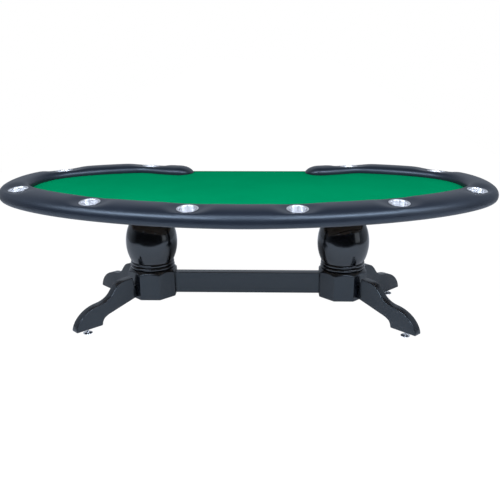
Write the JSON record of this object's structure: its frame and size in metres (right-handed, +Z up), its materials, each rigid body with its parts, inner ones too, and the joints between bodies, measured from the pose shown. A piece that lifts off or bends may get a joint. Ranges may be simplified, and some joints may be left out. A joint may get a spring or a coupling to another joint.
{
  "type": "poker table",
  "caption": "Oval card table: padded armrest rail with drop-in steel cup holders, cloth playing surface, straight dealer edge, turned pedestals on scroll legs with levelling feet.",
  "frame": {"origin": "on the floor, under the middle of the table's bounding box", "axes": "+Z up, +X along the table's length, +Y towards the dealer's straight edge"},
  "size_m": [2.7008, 1.2433, 0.776],
  "materials": {
    "vinyl": "satin, fine grain",
    "cloth": "matt, close woven",
    "foam": "matt",
    "plywood": "natural birch plywood, sealed",
    "black_edge": "satin",
    "gloss_black": "gloss black lacquer",
    "satin_black": "satin black lacquer",
    "stainless": "polished stainless steel",
    "zinc": "zinc plated",
    "chrome": "polished"
  },
  "bodies": {
    "table": {"dealer_edge_strip": "black_edge", "deck_batten_back": "plywood", "deck_batten_front": "plywood", "deck_board": "plywood", "deck_foam": "foam", "leg_bolt_back_left": "zinc", "leg_bolt_back_right": "zinc", "leg_bolt_front_left": "zinc", "leg_bolt_front_right": "zinc", "mounting_plate_left": "plywood", "mounting_plate_right": "plywood", "octagon_block_left": "satin_black", "octagon_block_right": "satin_black", "playing_cloth": "cloth", "rail_padding_1": "vinyl", "rail_padding_2": "vinyl", "rail_padding_3": "vinyl", "rail_padding_4": "vinyl", "rail_padding_5": "vinyl", "rail_ring": "plywood", "scroll_leg_back_left": "satin_black", "scroll_leg_back_right": "satin_black", "scroll_leg_front_left": "satin_black", "scroll_leg_front_right": "satin_black", "stretcher": "satin_black", "stretcher_bolt_left": "zinc", "stretcher_bolt_right": "zinc", "threaded_insert_back_left": "zinc", "threaded_insert_back_right": "zinc", "threaded_insert_front_left": "zinc", "threaded_insert_front_right": "zinc", "tie_nut_left": "zinc", "tie_nut_right": "zinc", "tie_rod_left": "zinc", "tie_rod_right": "zinc", "tie_washer_left": "zinc", "tie_washer_right": "zinc", "turned_column_left": "gloss_black", "turned_column_right": "gloss_black"},
    "cup_1": {"cup_holder_1": "stainless"},
    "cup_2": {"cup_holder_2": "stainless"},
    "cup_3": {"cup_holder_3": "stainless"},
    "cup_4": {"cup_holder_4": "stainless"},
    "cup_5": {"cup_holder_5": "stainless"},
    "cup_6": {"cup_holder_6": "stainless"},
    "cup_7": {"cup_holder_7": "stainless"},
    "cup_8": {"cup_holder_8": "stainless"},
    "cup_9": {"cup_holder_9": "stainless"},
    "cup_10": {"cup_holder_10": "stainless"},
    "leveller_front_left": {"leveller_stem_front_left": "chrome", "leveller_pad_front_left": "chrome"},
    "leveller_front_right": {"leveller_stem_front_right": "chrome", "leveller_pad_front_right": "chrome"},
    "leveller_back_left": {"leveller_stem_back_left": "chrome", "leveller_pad_back_left": "chrome"},
    "leveller_back_right": {"leveller_stem_back_right": "chrome", "leveller_pad_back_right": "chrome"}
  },
  "joints": [
    {"name": "cup_lift_1", "type": "slide", "parent": "table", "child": "cup_1", "axis": [0.024, 0.1017, 0.9945], "range_m": [0, 0.09]},
    {"name": "cup_lift_2", "type": "slide", "parent": "table", "child": "cup_2", "axis": [-0.0605, 0.0852, 0.9945], "range_m": [0, 0.09]},
    {"name": "cup_lift_3", "type": "slide", "parent": "table", "child": "cup_3", "axis": [-0.0801, -0.0671, 0.9945], "range_m": [0, 0.09]},
    {"name": "cup_lift_4", "type": "slide", "parent": "table", "child": "cup_4", "axis": [-0.037, -0.0978, 0.9945], "range_m": [0, 0.09]},
    {"name": "cup_lift_5", "type": "slide", "parent": "table", "child": "cup_5", "axis": [-0.0137, -0.1036, 0.9945], "range_m": [0, 0.09]},
    {"name": "cup_lift_6", "type": "slide", "parent": "table", "child": "cup_6", "axis": [0.0137, -0.1036, 0.9945], "range_m": [0, 0.09]},
    {"name": "cup_lift_7", "type": "slide", "parent": "table", "child": "cup_7", "axis": [0.037, -0.0978, 0.9945], "range_m": [0, 0.09]},
    {"name": "cup_lift_8", "type": "slide", "parent": "table", "child": "cup_8", "axis": [0.0801, -0.0671, 0.9945], "range_m": [0, 0.09]},
    {"name": "cup_lift_9", "type": "slide", "parent": "table", "child": "cup_9", "axis": [0.0605, 0.0852, 0.9945], "range_m": [0, 0.09]},
    {"name": "cup_lift_10", "type": "slide", "parent": "table", "child": "cup_10", "axis": [-0.024, 0.1017, 0.9945], "range_m": [0, 0.09]},
    {"name": "leveller_travel_front_left", "type": "slide", "parent": "table", "child": "leveller_front_left", "axis": [0, 0, 1], "range_m": [-0.012, 0.012]},
    {"name": "leveller_travel_front_right", "type": "slide", "parent": "table", "child": "leveller_front_right", "axis": [0, 0, 1], "range_m": [-0.012, 0.012]},
    {"name": "leveller_travel_back_left", "type": "slide", "parent": "table", "child": "leveller_back_left", "axis": [0, 0, 1], "range_m": [-0.012, 0.012]},
    {"name": "leveller_travel_back_right", "type": "slide", "parent": "table", "child": "leveller_back_right", "axis": [0, 0, 1], "range_m": [-0.012, 0.012]}
  ]
}
